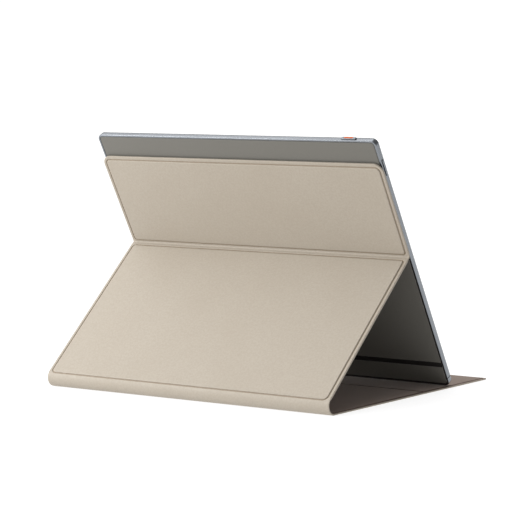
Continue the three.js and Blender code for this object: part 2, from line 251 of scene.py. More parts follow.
# Coated split leather, pressed smooth over a fine pebble: soft broad highlights, no sharp gloss.
# The pebble is drawn at 0.9 mm, about twice its real grain, so that it shows.
folioLeather = makeFinish("folioLeather", "#A59C8F", {"Roughness": 0.58, "Specular IOR Level": 0.35}, [
    {"kind": "TexNoise", "size": 45, "between": (0.3, 0.7), "paint": "#A09688", "amount": 0.45},
    {"kind": "TexNoise", "size": 1.6, "between": (0.35, 0.65), "paint": "#999083", "amount": 0.4,
     "rough": (0.52, 0.66)},
    {"kind": "TexVoronoi", "size": 0.9, "settings": {"feature": "SMOOTH_F1", "Smoothness": 0.6},
     "relief": 0.05, "strength": 0.35},
    {"kind": "TexNoise", "size": 0.35, "settings": {"Detail": 3}, "relief": 0.02, "strength": 0.3},
])
# The same leather in the pressed lines round the pads, painted darker brown as painted shade in the grooves,
# and a little smoother.
padLineShadeLeather = makeFinish("padLineShadeLeather", "#8E8170", {"Roughness": 0.5, "Specular IOR Level": 0.3}, [
    {"kind": "TexNoise", "size": 1.6, "between": (0.35, 0.65), "paint": "#857867", "amount": 0.5,
     "rough": (0.44, 0.58)},
    {"kind": "TexNoise", "size": 0.35, "settings": {"Detail": 3}, "relief": 0.02, "strength": 0.3},
])
# Brushed microfibre: matt, with patches where the nap lies another way.
folioLining = makeFinish("folioLining", "#8F7D72", {
    "Roughness": 0.95,
    "Sheen Weight": 0.25,
    "Sheen Roughness": 0.5,
    "Specular IOR Level": 0.1,
}, [
    {"kind": "TexNoise", "size": 28, "between": (0.35, 0.65), "paint": "#88766A", "amount": 0.5},
    {"kind": "TexNoise", "size": 0.5, "settings": {"Detail": 4}, "between": (0.3, 0.7),
     "paint": "#75645A",
     "amount": 0.45, "relief": 0.08, "strength": 0.4, "stretch": (1, 2.2, 1)},
])
# The lining in its pressed border line and crossing groove, painted darker as painted shade in the creases.
creaseShadeLining = makeFinish("creaseShadeLining", "#63544B", {"Roughness": 0.85, "Specular IOR Level": 0.15}, [
    {"kind": "TexNoise", "size": 0.5, "settings": {"Detail": 4}, "paint": "#55473F",
     "amount": 0.5, "relief": 0.04,
     "strength": 0.4, "rough": (0.78, 0.92)},
])
# Grey bookbinding board: flecked paper pulp with no shine.
bindingBoard = makeFinish("bindingBoard", "#8D8A82", {"Roughness": 0.92}, [
    {"kind": "TexNoise", "size": 1.2, "settings": {"Detail": 6}, "between": (0.4, 0.62),
     "paint": "#6F6C64",
     "relief": 0.05, "strength": 0.5},
])
# Aluminium, bead blasted and anodised a cool grey: a soft, slightly grained metal reflection.
anodisedAluminium = makeFinish("anodisedAluminium", "#868A8F", {"Metallic": 1, "Roughness": 0.27}, [
    {"kind": "TexNoise", "size": 0.3, "settings": {"Detail": 2}, "rough": (0.22, 0.3),
     "relief": 0.012, "strength": 0.25},
    {"kind": "TexNoise", "size": 30, "between": (0.3, 0.7), "paint": "#7E8287", "amount": 0.5},
])
# Glass-filled shell under a matt paint with a fine speckled texture: even, dry, warm grey.
paintedShell = makeFinish("paintedShell", "#696761", {"Roughness": 0.6, "Specular IOR Level": 0.35}, [
    {"kind": "TexNoise", "size": 0.7, "settings": {"Detail": 3}, "between": (0.35, 0.65),
     "paint": "#676560",
     "amount": 0.6, "rough": (0.55, 0.68), "relief": 0.025, "strength": 0.4},
    {"kind": "TexNoise", "size": 60, "between": (0.3, 0.7), "paint": "#6A6862", "amount": 0.5},
])
# Black silicone rubber with a moulded satin texture: it swallows light and keeps a dull edge.
gripRubber = makeFinish("gripRubber", "#1B1918", {"Roughness": 0.8, "Specular IOR Level": 0.25}, [
    {"kind": "TexNoise", "size": 0.6, "between": (0.35, 0.65), "paint": "#24211F", "relief": 0.03,
     "strength": 0.4,
     "rough": (0.74, 0.88)},
])
# Strengthened glass printed black from behind: deep, with one clean reflection.
printedGlass = makeFinish("printedGlass", "#101113", {"Roughness": 0.12, "IOR": 1.5, "Coat Weight": 0.4,
                                                      "Coat Roughness": 0.05}, [
    {"kind": "TexNoise", "size": 12, "rough": (0.1, 0.16), "paint": "#141518", "amount": 0.6},
])
# Electronic paper under etched glass: a flat pale grey made of fine pigment grains.
electronicPaper = makeFinish("electronicPaper", "#CFCEC6", {"Roughness": 0.55, "Specular IOR Level": 0.4}, [
    {"kind": "TexNoise", "size": 0.4, "settings": {"Detail": 4}, "between": (0.35, 0.65),
     "paint": "#C3C2BA",
     "amount": 0.7, "rough": (0.5, 0.62), "relief": 0.01, "strength": 0.2},
])
# Clear acrylic and polyester films, seen only when the reader is taken apart: pale with a soft gloss.
clearFilm = makeFinish("clearFilm", "#DCE2E4", {"Roughness": 0.22, "IOR": 1.49}, [
    {"kind": "TexNoise", "size": 3, "rough": (0.18, 0.3), "paint": "#CFD8DB", "amount": 0.5},
])
# Polyimide flexible film: amber, with copper tracks that show through as darker lines.
polyimideFilm = makeFinish("polyimideFilm", "#B5702A", {"Roughness": 0.4, "IOR": 1.6}, [
    {"kind": "TexWave", "size": 4, "between": (0.55, 0.7), "paint": "#8A4A1C", "relief": 0.02,
     "strength": 0.4,
     "rough": (0.34, 0.48)},
])
# Stamped stainless sheet: rolling lines along its length.
stampedSteel = makeFinish("stampedSteel", "#A2A3A6", {"Metallic": 1, "Roughness": 0.38}, [
    {"kind": "TexNoise", "size": 0.3, "stretch": (40, 1, 1), "rough": (0.3, 0.46), "relief": 0.01,
     "strength": 0.25},
    {"kind": "TexNoise", "size": 15, "paint": "#8F9093", "amount": 0.5},
])
# Aluminised pouch of a lithium cell under black film: soft wrinkles and a low shine.
cellPouch = makeFinish("cellPouch", "#2B2C30", {"Roughness": 0.42}, [
    {"kind": "TexNoise", "size": 9, "settings": {"Detail": 2}, "relief": 0.3, "strength": 0.3,
     "rough": (0.34, 0.5),
     "paint": "#36373C"},
])
# Glass-epoxy board under green solder mask: tracks stand just proud of the laminate.
solderMask = makeFinish("solderMask", "#1F4A37", {"Roughness": 0.45}, [
    {"kind": "TexBrick", "size": 3, "settings": {"Mortar Size": 0.06}, "paint": "#2C6148", "relief": 0.03,
     "strength": 0.5},
    {"kind": "TexNoise", "size": 0.5, "rough": (0.38, 0.52)},
])
# Moulded black plastic with a light spark-eroded texture.
mouldedPlastic = makeFinish("mouldedPlastic", "#1E1F21", {"Roughness": 0.55}, [
    {"kind": "TexNoise", "size": 0.3, "settings": {"Detail": 2}, "relief": 0.02, "strength": 0.4,
     "rough": (0.48, 0.62),
     "paint": "#26272A"},
])
# Nickel plate on sintered magnets: bright, faintly orange-peeled.
nickelPlate = makeFinish("nickelPlate", "#C4C3BE", {"Metallic": 1, "Roughness": 0.24}, [
    {"kind": "TexNoise", "size": 1.5, "relief": 0.02, "strength": 0.25, "rough": (0.2, 0.32),
     "paint": "#B5B4AE"},
])
# Orange enamel filled into the button: smooth, a little glossy, with a slight mottle.
orangeEnamel = makeFinish("orangeEnamel", "#C4560E", {"Roughness": 0.5, "Specular IOR Level": 0.1}, [
    {"kind": "TexNoise", "size": 1.2, "paint": "#BA500C", "amount": 0.6, "rough": (0.45, 0.6)},
])
print("finishes made")

# The CAD solids that stay are inside the reader or the folio

finishOfNodes = {
    bindingBoard: ["front_cover_board", "lower_panel_board", "upper_panel_board"],
    nickelPlate: ["magnet"],
    mouldedPlastic: ["spine_stiffener", "speaker", "switch"],
    clearFilm: ["touch_film", "light_guide"],
    electronicPaper: ["light_strip", "paper_panel"],
    polyimideFilm: ["pen_digitizer", "display_ribbon"],
    stampedSteel: ["mid_frame", "chassis_screw", "processor_shield"],
    cellPouch: ["battery"],
    solderMask: ["main_board"],
}
for finish, words in finishOfNodes.items():
    for name, node in frame["nodes"].items():
        if any(word in name for word in words):
            node.data.materials.clear()
            node.data.materials.append(finish)

# The folio is one long skin with a lining. Both are drawn flat, as (x, along, level) in mm. Along runs from
# the cover's front edge over the spine, the lower panel and the fold to the top of the upper panel. Level
# goes from the outer face inwards. They are then bent into shape and parted at the joints.

folio = {
    "spineRadius": 8.28,
    "gap": 0.3,              # between the CAD solids at the spine
    "foldReach": 1.5,        # soft skin on each side of the fold line
    "corners": (3, 8.5),     # at the cover's front edge, at the upper panel's top
    "foldEase": 0.8,         # the part of it that bends
    "spineSteps": (16, 10),  # below and above the spine's widest point
    "foldSteps": 10,
}
coverLow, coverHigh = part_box("front_cover_leather")
halfFolio = coverHigh.x / mm
coverFront = coverLow.y / mm
spineRadius = folio["spineRadius"]
spineCentre = Vector((coverHigh.y / mm + folio["gap"], spineRadius))
toCentre = spineCentre - foldPoint
lowerLength = math.sqrt(toCentre.length_squared - spineRadius ** 2)
lowerSlope = -math.atan2(toCentre.y, toCentre.x) - math.asin(spineRadius / toCentre.length)
upLower = Vector((-math.cos(lowerSlope), math.sin(lowerSlope)))
outOfLower = Vector((math.sin(lowerSlope), math.cos(lowerSlope)))
lowerStart = spineCentre + outOfLower * spineRadius
upperLength = spanAlong("upper_panel_leather", upReader)[1] - foldPoint.dot(upReader)

foldTurn = math.pi - lowerSlope - readerTilt
foldRadius = folio["foldEase"] / math.tan(foldTurn / 2)
foldCentre = foldPoint - upLower * folio["foldEase"] + outOfLower * foldRadius

spineAt = spineCentre.x - coverFront
spineMiddleAt = spineAt + spineRadius * math.pi / 2
lowerAt = spineAt + spineRadius * (math.pi - lowerSlope)
foldAt = lowerAt + lowerLength
foldLowAt = foldAt - folio["foldReach"]
foldHighAt = foldAt + folio["foldReach"]
bendLowAt = foldAt - folio["foldEase"]
bendHighAt = foldAt + folio["foldEase"]
topAt = foldAt + upperLength


def bentPoint(x, along, level):
    if along <= spineAt:
        place = Vector((coverFront + along, level))
    elif along < lowerAt:
        angle = (along - spineAt) / spineRadius - math.pi / 2
        place = spineCentre + Vector((math.cos(angle), math.sin(angle))) * (spineRadius - level)
    elif along <= bendLowAt:
        place = lowerStart + upLower * (along - lowerAt) - outOfLower * level
    elif along < bendHighAt:
        angle = math.pi / 2 - lowerSlope - foldTurn * (along - bendLowAt) / (bendHighAt - bendLowAt)
        place = foldCentre - Vector((math.cos(angle), math.sin(angle))) * (foldRadius + level)
    else:
        place = foldPoint + upReader * (along - foldAt) + screenOut * level
    return Vector((x, place.x, place.y))


def evenStops(start, end, steps):
    return [start + (end - start) * step / steps for step in range(steps + 1)]


bendStops = (
    evenStops(spineAt, spineMiddleAt, folio["spineSteps"][0])
    + evenStops(spineMiddleAt, lowerAt, folio["spineSteps"][1])[1:]
    + evenStops(bendLowAt, bendHighAt, folio["foldSteps"])
    + [foldLowAt, foldHighAt]
)
# where the levels below start or end a slope
easeStops = [spineAt - 2, spineAt - 1, lowerAt + 0.5, lowerAt + 1]
easeStops += [foldAt - 5.3, foldAt - 4.2, foldAt - 3.4, foldAt - 2.4, foldAt + 2, foldAt + 2.4, foldAt + 3]
crossStops = sorted(set(bendStops + easeStops))


def insetFrom(x, along, halfWidth, low, high, radii):
    # how far a place lies inside a rounded rectangle. radii: lower end, upper end
    radius = radii[0] if along < (low + high) / 2 else radii[1]
    beyondX = abs(x) - (halfWidth - radius)
    beyondY = abs(along - (low + high) / 2) - ((high - low) / 2 - radius)
    outside = math.hypot(max(beyondX, 0), max(beyondY, 0))
    return radius - outside - min(max(beyondX, beyondY), 0)


def folioInset(x, along):
    return insetFrom(x, along, halfFolio, 0, topAt, folio["corners"])


def folioRing(inset):
    # the folio's outline, drawn in by inset, with a point at every stop on its long sides
    front, top = [max(corner - inset, 0.6) for corner in folio["corners"]]
    corners = roundedRing(2 * (halfFolio - inset), topAt - 2 * inset, [front, top, top, front],
                          y=topAt / 2, steps=12)
    half = len(corners) // 4
    x = halfFolio - inset
    flat = [point[:2] for point in corners]
    return (flat[:half] + [(x, stop) for stop in crossStops] + flat[half:3 * half]
            + [(-x, stop) for stop in reversed(crossStops)] + flat[3 * half:])


def crossPairs():
    # places in folioRing's list of each stop's right and left end
    ring = folioRing(0)
    right = {round(point[1], 6): i for i, point in enumerate(ring) if point[0] > halfFolio - 1e-6}
    left = {round(point[1], 6): i for i, point in enumerate(ring) if point[0] < 1e-6 - halfFolio}
    return [(right[round(stop, 6)], left[round(stop, 6)]) for stop in crossStops]


def fillFlat(outerRing, loops, lines, level):
    # triangles inside outerRing that keep every loop, line and stop as an edge
    points = list(outerRing)
    edges = [(i, (i + 1) % len(points)) for i in range(len(points))]
    edges += crossPairs()
    for loop in loops:
        start = len(points)
        points += loop
        edges += [(start + i, start + (i + 1) % len(loop)) for i in range(len(loop))]
    for line in lines:
        start = len(points)
        points += line
        edges += [(start + i, start + i + 1) for i in range(len(line) - 1)]
    flat = [Vector(point) for point in points]
    places, _, faces, _, _, _ = delaunay_2d_cdt(flat, edges, [], 1, 1e-5)
    filled = [(place.x, place.y, level(place.x, place.y)) for place in places]
    return filled, [tuple(face) for face in faces]


def makeSheet(outer, inner, edgeRows):
    # one closed sheet: two filled faces joined by the rows round its edge. Each row is an inset and a
    # function that gives its level
    points = []
    faces = []
    for placed, filled in (outer, inner):
        start = len(points)
        points += placed
        faces += [tuple(start + i for i in face) for face in filled]
    rings = [[(x, along, level(x, along)) for x, along in folioRing(inset)] for inset, level in edgeRows]
    ringPoints, ringFaces = bridgeRings(rings)
    start = len(points)
    points += ringPoints
    faces += [tuple(start + i for i in face) for face in ringFaces[:-2]]
    return points, faces


def partSheet(name, sheet, low, high, finish, sharpAngle=40):
    # the stretch of a sheet between two stops, closed at its cuts and bent into shape
    points, faces = sheet
    work = bmesh.new()
    made = [work.verts.new(point) for point in points]
    for face in faces:
        middle = sum(points[i][1] for i in face) / len(face)
        if low < middle < high:
            work.faces.new([made[i] for i in face])
    loose = [vertex for vertex in work.verts if not vertex.link_faces]
    bmesh.ops.delete(work, geom=loose, context="VERTS")
    bmesh.ops.remove_doubles(work, verts=work.verts, dist=0.0005)
    bmesh.ops.dissolve_degenerate(work, edges=work.edges, dist=0.0002)
    rim = [edge for edge in work.edges if edge.is_boundary]
    caps = bmesh.ops.holes_fill(work, edges=rim, sides=0)["faces"] if rim else []
    bmesh.ops.triangulate(work, faces=caps, ngon_method="EAR_CLIP")
    bmesh.ops.recalc_face_normals(work, faces=work.faces)
    # faces in the pressed lines and creases take the second finish, a painted shade
    shadeFinish, shadeAt = paintedShadeFinishes[finish.name]
    for face in work.faces:
        face.material_index = int(shadeAt(*face.calc_center_median()))
    for vertex in work.verts:
        vertex.co = bentPoint(*vertex.co)
    mesh = bpy.data.meshes.new(name)
    work.to_mesh(mesh)
    work.free()
    mesh.transform(Matrix.Scale(mm, 4))
    finishMesh(mesh, sharpAngle)
    mesh.materials.append(finish)
    mesh.materials.append(shadeFinish)
    piece = bpy.data.objects.new(name, mesh)
    scene.collection.objects.link(piece)
    return piece


stretches = [
    ("frontCover{}", -1, spineAt),
    ("spine{}Lower", spineAt, spineMiddleAt),
    ("spine{}Upper", spineMiddleAt, lowerAt),
    ("lowerPanel{}", lowerAt, foldLowAt),
    ("fold{}", foldLowAt, foldHighAt),
    ("upperPanel{}", foldHighAt, topAt + 1),
]


def partAll(kind, sheet, finish):
    return [partSheet(name.format(kind), sheet, low, high, finish) for name, low, high in stretches]


# Levels that the skin and the lining share, as (place along the folio, level)

# how far the border lies behind the pads' crowns: less where it is pressed against the table
borderTable = [
    (spineAt - 6, 0.15), (spineAt, 0.04), (spineAt + 6, 0.06), (spineMiddleAt, 0.26), (lowerAt, 0.3),
    (foldAt - 3.4, 0.3), (foldAt - 0.6, 0.55), (foldAt + 0.2, 0.55), (foldAt + 0.7, 0.3),
]
# the rim, where the lining meets the skin
rimTable = [
    (spineAt - 4, 1.25), (spineAt, 1.3), (lowerAt - 2, 1.3), (lowerAt + 1, 1.95),
    (foldAt - 5.3, 1.95), (foldAt - 2.4, 1.3), (foldAt + 0.5, 1.3), (foldAt + 3, 1.95),
]
# the lining's face over the boards
fullTable = [
    (spineAt - 2, 1.6), (spineAt, 1.3), (lowerAt - 2.6, 1.3), (lowerAt + 0.5, 2.7),
    (foldAt - 5.3, 2.7), (foldAt - 2.4, 1.3), (foldAt + 0.3, 1.3), (foldAt + 2, 2.7),
]
skinTable = [(spineAt - 1, 0.7), (spineAt, 0.85)]   # the skin's inner face
liningThickness = 0.38
liningRise = (2.7, 3.6)  # from the folio's edge, where the lining climbs over the boards
stiffener = {"halfWidth": halfFolio - 5.3, "reach": 2.9, "ease": 1.6, "level": 1.98}


def rimLevel(x, along):
    return profileAt(rimTable, along)


def liningLevel(x, along):
    # rises from the pressed rim over the boards, and over the stiffener in the spine
    inset = folioInset(x, along)
    rim = rimLevel(x, along)
    level = rim + (profileAt(fullTable, along) - rim) * smoothStep(*liningRise, inset)
    overStiffener = (
        smoothStep(stiffener["halfWidth"] + stiffener["ease"], stiffener["halfWidth"], abs(x))
        * smoothStep(stiffener["reach"] + stiffener["ease"], stiffener["reach"], abs(along - spineMiddleAt))
    )
    return level + (stiffener["level"] - level) * overStiffener


# Pads: raised over the boards, with a pressed line at the foot of each slope. Places are the slopes' feet.

pads = {
    "side": 2.75,            # from the folio's side edge
    "front": {"low": 4.2, "high": spineAt - 2, "radii": (5, 5)},
    "lower": {"low": lowerAt - 2.3, "high": foldAt - 3.7, "radii": (4.8, 3.2)},
    "upper": {"low": foldAt + 1.2, "high": topAt - 3.2, "radii": (3.2, 4.6)},
    "rise": [(0.55, 1), (1.1, 0)],   # share of the border's depth, across the slope
    "press": [(-0.7, 0.02), (-0.45, 0.08), (-0.2, 0.5), (0.55, 0.5), (1.1, 0), (1.7, 0), (3.2, 0.03)],
    "pressShare": [(spineAt - 6, 0.6), (lowerAt - 5, 1)],
    "rings": (-0.7, -0.45, -0.36, -0.28, -0.2, 0.2, 0.55, 0.66, 0.77, 0.88, 0.99, 1.1, 1.7, 3.2),
    "shadeFrom": -0.3,        # the painted shade starts here, across the slope
    "lineTo": 0.8,
    "outerFace": 0.9,        # deeper places are on the skin's inner face
}
padShapes = [pads["front"], pads["lower"], pads["upper"]]


def padInset(pad, x, along):
    return insetFrom(x, along, halfFolio - pads["side"], pad["low"], pad["high"], pad["radii"])


def skinLevel(x, along):
    level = profileAt(borderTable, along)
    pressed = pads["press"][0][1]
    for pad in padShapes:
        inset = padInset(pad, x, along)
        if inset > -1:
            level *= profileAt(pads["rise"], inset)
            pressed = profileAt(pads["press"], inset)
    return level + pressed * profileAt(pads["pressShare"], along)


def inPadLineShade(x, along, level):
    # whether a place on the outer face is in the line round a pad, which gets the painted shade
    if level > pads["outerFace"]:
        return False
    return any(pads["shadeFrom"] < padInset(pad, x, along) < pads["lineTo"] for pad in padShapes)


def padLoops():
    loops = []
    for pad in padShapes:
        for inset in pads["rings"]:
            radii = [max(radius - inset, 0.4) for radius in pad["radii"]]
            low = pad["low"] + inset
            high = pad["high"] - inset
            ring = roundedRing(2 * (halfFolio - pads["side"] - inset), high - low,
                               [radii[0], radii[1], radii[1], radii[0]], y=(low + high) / 2, steps=8)
            loops.append([point[:2] for point in ring])
    return loops


# the painted shade of each sheet's pressed lines and creases, as a darker finish, and the function that
# tells where it goes
paintedShadeFinishes = {"folioLeather": (padLineShadeLeather, inPadLineShade)}
edge = {"face": 1.1, "round": 0.42, "roundSteps": 5, "hem": 3.1, "hemSlope": 0.15}
roundOut = edge["round"]
hemEnd = edge["hem"] + edge["hemSlope"]


def skinFlange(x, along):
    return rimLevel(x, along) - liningThickness - 0.03


def skinInner(x, along):
    return profileAt(skinTable, along) - 0.02


skinEdgeRows = [(edge["face"], skinLevel)]
for step in range(edge["roundSteps"] + 1):
    angle = math.pi / 2 * step / edge["roundSteps"]
    skinEdgeRows.append((
        roundOut * (1 - math.sin(angle)),
        lambda x, along, angle=angle: skinLevel(x, along) + roundOut * (1 - math.cos(angle)),
    ))
skinEdgeRows += [
    (0, lambda x, along: rimLevel(x, along) - 0.3),
    (0.04, lambda x, along: rimLevel(x, along) - 0.16),
    (0.16, lambda x, along: rimLevel(x, along) - 0.06),
    (0.34, lambda x, along: rimLevel(x, along) - 0.06),
    (0.4, skinFlange),
    (edge["hem"], skinFlange),
    (hemEnd, skinInner),
]
outerSkin = fillFlat(folioRing(edge["face"]), padLoops(), [], skinLevel)
innerSkin = fillFlat(folioRing(hemEnd), [], [], skinInner)
skinSheet = makeSheet(outerSkin, innerSkin, skinEdgeRows)

frontSkin, spineSkinLow, spineSkinHigh, lowerSkin, foldSkin, upperSkin = partAll(
    "Skin", skinSheet, folioLeather)
print("folio skin made")

# The lining lies inside the skin's edge. A pressed line runs round it where the boards end, and one groove
# crosses the cover, where the reader's lower edge stands at its other angle.

lining = {
    "inset": 0.4,
    "lineAt": 3.0,
    "line": [(-0.9, 0), (-0.4, 0.24), (0, 0.28), (0.4, 0.24), (0.9, 0)],
    "grooveAt": 100.3,       # from the cover's front edge
    "groove": [(-1.3, 0), (-1.05, 0.36), (0, 0.37), (1.05, 0.36), (1.3, 0)],
    "grooveEnd": 4.2,        # from the cover's side
    "face": 1.0,             # where the rounded edge ends
    "faceLoops": (4.2, 3.9),
    "backLoops": (2.7, 3.1, 3.6),
    "borderWidth": 0.65,     # the painted shade on each side of the border's line
    "grooveWidth": 1.3,      # and on each side of the groove
}


def liningFace(x, along):
    pressed = profileAt(lining["line"], folioInset(x, along) - lining["lineAt"])
    if abs(along - lining["grooveAt"]) < 2.5 and abs(x) < halfFolio - lining["grooveEnd"] + 0.01:
        pressed = max(pressed, profileAt(lining["groove"], along - lining["grooveAt"]))
    return liningLevel(x, along) - pressed


def inCreaseShade(x, along, level):
    # whether a place on the face of the lining is in the border line or the crossing groove, which get the
    # painted shade
    inBorder = abs(folioInset(x, along) - lining["lineAt"]) < lining["borderWidth"]
    inGroove = (abs(along - lining["grooveAt"]) < lining["grooveWidth"]
                and abs(x) < halfFolio - lining["grooveEnd"])
    return (inBorder or inGroove) and level > liningLevel(x, along) - liningThickness + 0.005


# the lining's creases get a painted shade
paintedShadeFinishes["folioLining"] = (creaseShadeLining, inCreaseShade)


def liningBack(x, along):
    return liningLevel(x, along) - liningThickness


lineLoops = [folioRing(lining["lineAt"] + offset) for offset, _ in lining["line"]]
lineLoops += [folioRing(inset) for inset in lining["faceLoops"]]
backLoops = [folioRing(inset) for inset in lining["backLoops"]]
grooveReach = halfFolio - lining["grooveEnd"]
grooveLines = [[(-grooveReach, lining["grooveAt"] + offset), (grooveReach, lining["grooveAt"] + offset)]
               for offset, _ in lining["groove"]]
grooveLines += [[(side * reach, lining["grooveAt"] - 2.4), (side * reach, lining["grooveAt"] + 2.4)]
                for side in (-1, 1) for reach in (grooveReach, grooveReach + 0.3)]
stiffenerLoops = []
for ease in (0, 0.5, 1.1, 1.7):
    stiffenerRing = roundedRing(2 * (stiffener["halfWidth"] + ease), 2 * (stiffener["reach"] + ease),
                                0.3 + ease, y=spineMiddleAt, steps=3)
    stiffenerLoops.append([point[:2] for point in stiffenerRing])

liningEdgeRows = [
    (lining["face"], liningFace),
    (lining["inset"] + 0.25, liningFace),
    (lining["inset"] + 0.12, lambda x, along: liningFace(x, along) - 0.04),
    (lining["inset"] + 0.03, lambda x, along: liningFace(x, along) - 0.12),
    (lining["inset"], lambda x, along: liningFace(x, along) - 0.2),
    (lining["inset"] + 0.02, liningBack),
    (lining["face"], liningBack),
]
liningOuter = fillFlat(folioRing(lining["face"]), lineLoops + stiffenerLoops, grooveLines, liningFace)
liningInner = fillFlat(folioRing(lining["face"]), backLoops + stiffenerLoops, [], liningBack)
liningSheet = makeSheet(liningOuter, liningInner, liningEdgeRows)

frontLining, spineLiningLow, spineLiningHigh, lowerLining, foldLining, upperLining = partAll(
    "Lining", liningSheet, folioLining)
print("folio lining made")

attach(frontSkin, "front_cover")
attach(frontLining, "front_cover")
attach(lowerSkin, "lower_panel")
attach(lowerLining, "lower_panel")
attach(upperSkin, "upper_panel")
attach(upperLining, "upper_panel")
for piece in (spineSkinLow, spineLiningLow):
    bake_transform(piece)
for piece in (spineSkinHigh, spineLiningHigh):
    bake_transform(piece)
for piece in (foldSkin, foldLining):
    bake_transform(piece)
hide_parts("front_cover_leather")
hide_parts("spine_leather")
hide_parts("lower_panel_leather")
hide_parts("fold_leather")
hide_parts("upper_panel_leather")
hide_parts("front_cover_lining")
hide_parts("lower_panel_lining")
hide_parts("upper_panel_lining")

# The reader, in its own frame: x, y up the back, z out of the screen, with its back face at z = 0

frameHigh = readerBox("side_frame")[1]
halfReader = frameHigh.x
readerHeight = frameHigh.y
readerDepth = frameHigh.z

sideFrame = {
    "corner": 5,
    "cornerSteps": 24,
    "wall": 2.6,
    "coverSeat": 1.72,       # where the back cover's gap begins
    "glassSeat": 1.0,        # where the glass begins
    "backRound": (0.4, 0.7),  # how far the back edge is rounded: across the back and along the side
    "frontRound": (0.6, 1.6),
    "roundSteps": 8,
}


def readerRing(inset, z):
    radius = max(sideFrame["corner"] - inset, 1)
    return roundedRing(2 * (halfReader - inset), readerHeight - 2 * inset, radius, y=readerHeight / 2, z=z,
                       steps=sideFrame["cornerSteps"])


def quarterCurve(start, corner, end, steps):
    # points of a curve from start to end that leans towards corner, as (inset, z)
    made = []
    for step in range(steps + 1):
        t = step / steps
        made.append(tuple(
            start[i] * (1 - t) ** 2 + 2 * corner[i] * t * (1 - t) + end[i] * t ** 2
            for i in (0, 1)
        ))
    return made


backAcross, backAlong = sideFrame["backRound"]
frontAcross, frontAlong = sideFrame["frontRound"]
outsideSection = (
    quarterCurve((backAcross, 0), (0.02, 0.02), (0, backAlong), sideFrame["roundSteps"])
    + quarterCurve((0, readerDepth - frontAlong), (0, readerDepth - 0.02), (frontAcross, readerDepth),
                   sideFrame["roundSteps"])
)
frameSection = outsideSection + [
    (sideFrame["glassSeat"], readerDepth - 0.05),
    (sideFrame["glassSeat"] + 0.02, readerDepth - 0.5),
    (sideFrame["wall"], readerDepth - 0.55),
    (sideFrame["wall"], 0.8),
    (sideFrame["coverSeat"], 0.8),
    (sideFrame["coverSeat"], 0.12),
    (sideFrame["coverSeat"] - 0.04, 0.03),
    (sideFrame["coverSeat"] - 0.14, 0),
]
points, faces = bridgeRings([readerRing(inset, z) for inset, z in frameSection], closed=True)
frameBody = addPiece("sideFrame", points, faces, anodisedAluminium, readerPlace, 24)

sideTurns = {
    "top": Matrix(((1, 0, 0), (0, 0, 1), (0, -1, 0))).to_4x4(),
    "left": Matrix(((0, 0, -1), (1, 0, 0), (0, -1, 0))).to_4x4(),
    "right": Matrix(((0, 0, 1), (1, 0, 0), (0, 1, 0))).to_4x4(),
}


def onSide(toward, centre):
    # a small part's own frame on the reader's edge: its length, its width, and out of the edge
    return readerPlace @ Matrix.Translation(centre) @ sideTurns[toward]


def pillRow(length, width, z):
    return {"width": length, "height": width, "radius": min(length, width) * 0.49, "z": z}


def pillCutter(toward, length, width, centre, depth=4):
    return addStack("cutter", [pillRow(length, width, -depth), pillRow(length, width, 1.5)], None,
                    onSide(toward, centre))


powerLow, powerHigh = readerBox("power_button")
power = {
    "length": 14,
    "width": 2.6,
    "proud": powerHigh.y - readerHeight,
    "slotLength": 14.8,
    "slotWidth": 3.3,
    "rounding": 0.22,
    "inlay": (8.8, 1.9),
    "place": ((powerLow.x + powerHigh.x) / 2, readerHeight, readerDepth / 2),
}
rockerLow, rockerHigh = readerBox("volume_rocker")
rocker = {
    "length": 14.4,
    "width": 2.0,
    "proud": -halfReader - rockerLow.x,
    "slotLength": 15.2,
    "slotWidth": 3.2,
    "rounding": 0.3,
    "place": (-halfReader, (rockerLow.y + rockerHigh.y) / 2, readerDepth / 2),
}
usbLow, usbHigh = readerBox("usb_port")
usb = {
    "length": 8.9,
    "width": 3.1,
    "place": (halfReader, (usbLow.y + usbHigh.y) / 2, readerDepth / 2),
}
speakerSlots = {"length": 4, "width": 1.1, "apart": 6, "z": 1.7}

cutters = [
    pillCutter("top", power["slotLength"], power["slotWidth"], power["place"]),
    pillCutter("left", rocker["slotLength"], rocker["slotWidth"], rocker["place"]),
    pillCutter("right", usb["length"] + 0.3, usb["width"] + 0.3, usb["place"]),
]
for name in ("speaker_upper", "speaker_lower"):
    capsuleLow, capsuleHigh = readerBox(name)
    capsuleMiddle = (capsuleLow.y + capsuleHigh.y) / 2
    for number in (-1, 0, 1):
        place = (halfReader, capsuleMiddle + number * speakerSlots["apart"], speakerSlots["z"])
        cutters.append(pillCutter("right", speakerSlots["length"], speakerSlots["width"], place))

# Two thin plastic breaks in the frame, near the lower edge, follow its outside curve

antenna = {"width": 0.8, "depth": 0.8, "y": 8, "proud": 0.01, "gap": 0.02, "wrap": 0.6}
for name, side in (("Left", -1), ("Right", 1)):
    face = [(side * (halfReader - inset + antenna["proud"]), z) for inset, z in outsideSection
            if inset < antenna["wrap"]]
    back = [(side * (halfReader - antenna["depth"]), z) for _, z in (face[-1], face[0])]
    loop = face + back
    rings = [[(x, antenna["y"] + end * antenna["width"] / 2, z) for x, z in loop] for end in (-1, 1)]
    points, faces = bridgeRings(rings)
    insert = addPiece("antennaBreak" + name, points, faces, mouldedPlastic, readerPlace)
    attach(insert, "reader")
    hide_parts("antenna_strip_" + name.lower())
    wide = antenna["width"] / 2 + antenna["gap"]
    span = sorted((side * (halfReader - antenna["depth"] - antenna["gap"]), side * (halfReader + 1)))
    cutters.append(addStack("cutter", [
        {"width": span[1] - span[0], "height": 2 * wide, "radius": 0.01,
         "x": sum(span) / 2, "y": antenna["y"], "z": z}
        for z in (-1, readerDepth + 1)
    ], None, readerPlace, steps=1))
carve(frameBody, cutters, 24)
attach(frameBody, "reader")
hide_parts("side_frame")
print("side frame made")

# Back cover, with the groove that holds the grip strip

